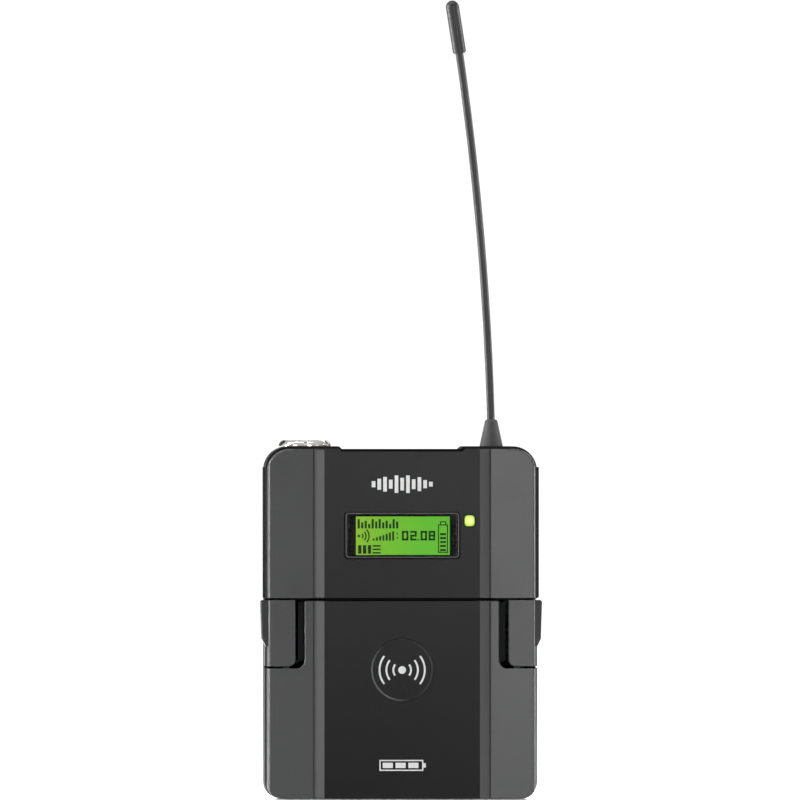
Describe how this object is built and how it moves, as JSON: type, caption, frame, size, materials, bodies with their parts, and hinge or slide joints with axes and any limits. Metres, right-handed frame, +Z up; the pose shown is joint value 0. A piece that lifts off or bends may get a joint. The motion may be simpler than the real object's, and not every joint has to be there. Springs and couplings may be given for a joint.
{
  "type": "wireless guitar transmitter",
  "caption": "Belt-worn wireless transmitter for a guitar, with a display, a hinged battery door with pinch tabs, a round locking socket, a curved whip aerial and a wire belt clip.",
  "frame": {"origin": "middle of the flat base, halfway through the casing's depth", "axes": "+Z up the casing and along the aerial, -Y out of the display, +X to the viewer's right when facing the display"},
  "size_m": [0.0692, 0.0319, 0.1966],
  "materials": {
    "casing": "satin",
    "black_plastic": "satin",
    "key_grey": "matte",
    "tab_grey": "satin",
    "window": "gloss",
    "lcd": "gloss",
    "diffuser": "satin",
    "lamp": "gloss",
    "infrared_red": "gloss",
    "circuit_board": "satin",
    "chip_black": "matte",
    "tinplate": "satin",
    "nickel": "satin",
    "gilt": "polished",
    "cell_jacket": "gloss",
    "aerial_rubber": "satin",
    "clip_wire": "satin",
    "plate_grey": "satin",
    "ribbon": "satin",
    "lead_jacket": "satin",
    "foam": "matte",
    "screw_steel": "satin"
  },
  "bodies": {
    "chassis": {"rear_housing": "black_plastic", "front_cover": "casing", "display_window": "window", "lcd_glass": "lcd", "lcd_frame": "black_plastic", "backlight": "diffuser", "status_lamp": "lamp", "display_board": "circuit_board", "main_board": "circuit_board", "rf_shield": "tinplate", "board_chips": "chip_black", "board_link": "key_grey", "inner_panel": "black_plastic", "infrared_window": "infrared_red", "key_switches": "tinplate", "battery_tray": "black_plastic", "lower_cell": "cell_jacket", "upper_cell": "cell_jacket", "contact_springs": "tinplate", "contact_plates": "tinplate", "socket_shell": "nickel", "socket_nut": "nickel", "socket_insert": "black_plastic", "socket_pins": "gilt", "socket_board": "circuit_board", "audio_ribbon": "ribbon", "aerial_base": "nickel", "aerial_boot": "aerial_rubber", "aerial_whip": "aerial_rubber", "aerial_tip": "aerial_rubber", "aerial_lead": "lead_jacket", "power_switch": "black_plastic", "door_hinge_pins": "tinplate", "left_tab_spring": "tinplate", "right_tab_spring": "tinplate", "rating_plate": "plate_grey", "charge_contacts": "gilt", "housing_screws": "screw_steel"},
    "battery_door": {"battery_door": "casing", "door_pad": "foam"},
    "left_tab": {"left_tab": "tab_grey"},
    "right_tab": {"right_tab": "tab_grey"},
    "power_slider": {"power_slider": "key_grey"},
    "set_key": {"set_key": "key_grey"},
    "up_key": {"up_key": "key_grey"},
    "down_key": {"down_key": "key_grey"},
    "belt_clip": {"belt_clip": "clip_wire"}
  },
  "joints": [
    {"name": "door_hinge", "type": "hinge", "parent": "chassis", "child": "battery_door", "pos_m": [0, -0.00765, 0.0022], "axis": [1, 0, 0], "range_deg": [0, 90]},
    {"name": "left_tab_press", "type": "slide", "parent": "chassis", "child": "left_tab", "axis": [1, 0, 0], "range_m": [0, 0.0016], "stiffness_N_per_m": 800, "springref_m": -0.001, "deforming": ["left_tab_spring"]},
    {"name": "right_tab_press", "type": "slide", "parent": "chassis", "child": "right_tab", "axis": [-1, 0, 0], "range_m": [0, 0.0016], "stiffness_N_per_m": 800, "springref_m": -0.001, "deforming": ["right_tab_spring"]},
    {"name": "power_slide", "type": "slide", "parent": "chassis", "child": "power_slider", "axis": [1, 0, 0], "range_m": [-0.004, 0]},
    {"name": "set_press", "type": "slide", "parent": "chassis", "child": "set_key", "axis": [0, 1, 0], "range_m": [0, 0.0005], "stiffness_N_per_m": 600, "springref_m": -0.0003},
    {"name": "up_press", "type": "slide", "parent": "chassis", "child": "up_key", "axis": [0, 1, 0], "range_m": [0, 0.0005], "stiffness_N_per_m": 600, "springref_m": -0.0003},
    {"name": "down_press", "type": "slide", "parent": "chassis", "child": "down_key", "axis": [0, 1, 0], "range_m": [0, 0.0005], "stiffness_N_per_m": 600, "springref_m": -0.0003},
    {"name": "clip_hinge", "type": "hinge", "parent": "chassis", "child": "belt_clip", "pos_m": [0, 0.0175, 0.069], "axis": [1, 0, 0], "range_deg": [0, 14], "stiffness_Nm_per_rad": 0.3, "springref_deg": -2.86}
  ]
}
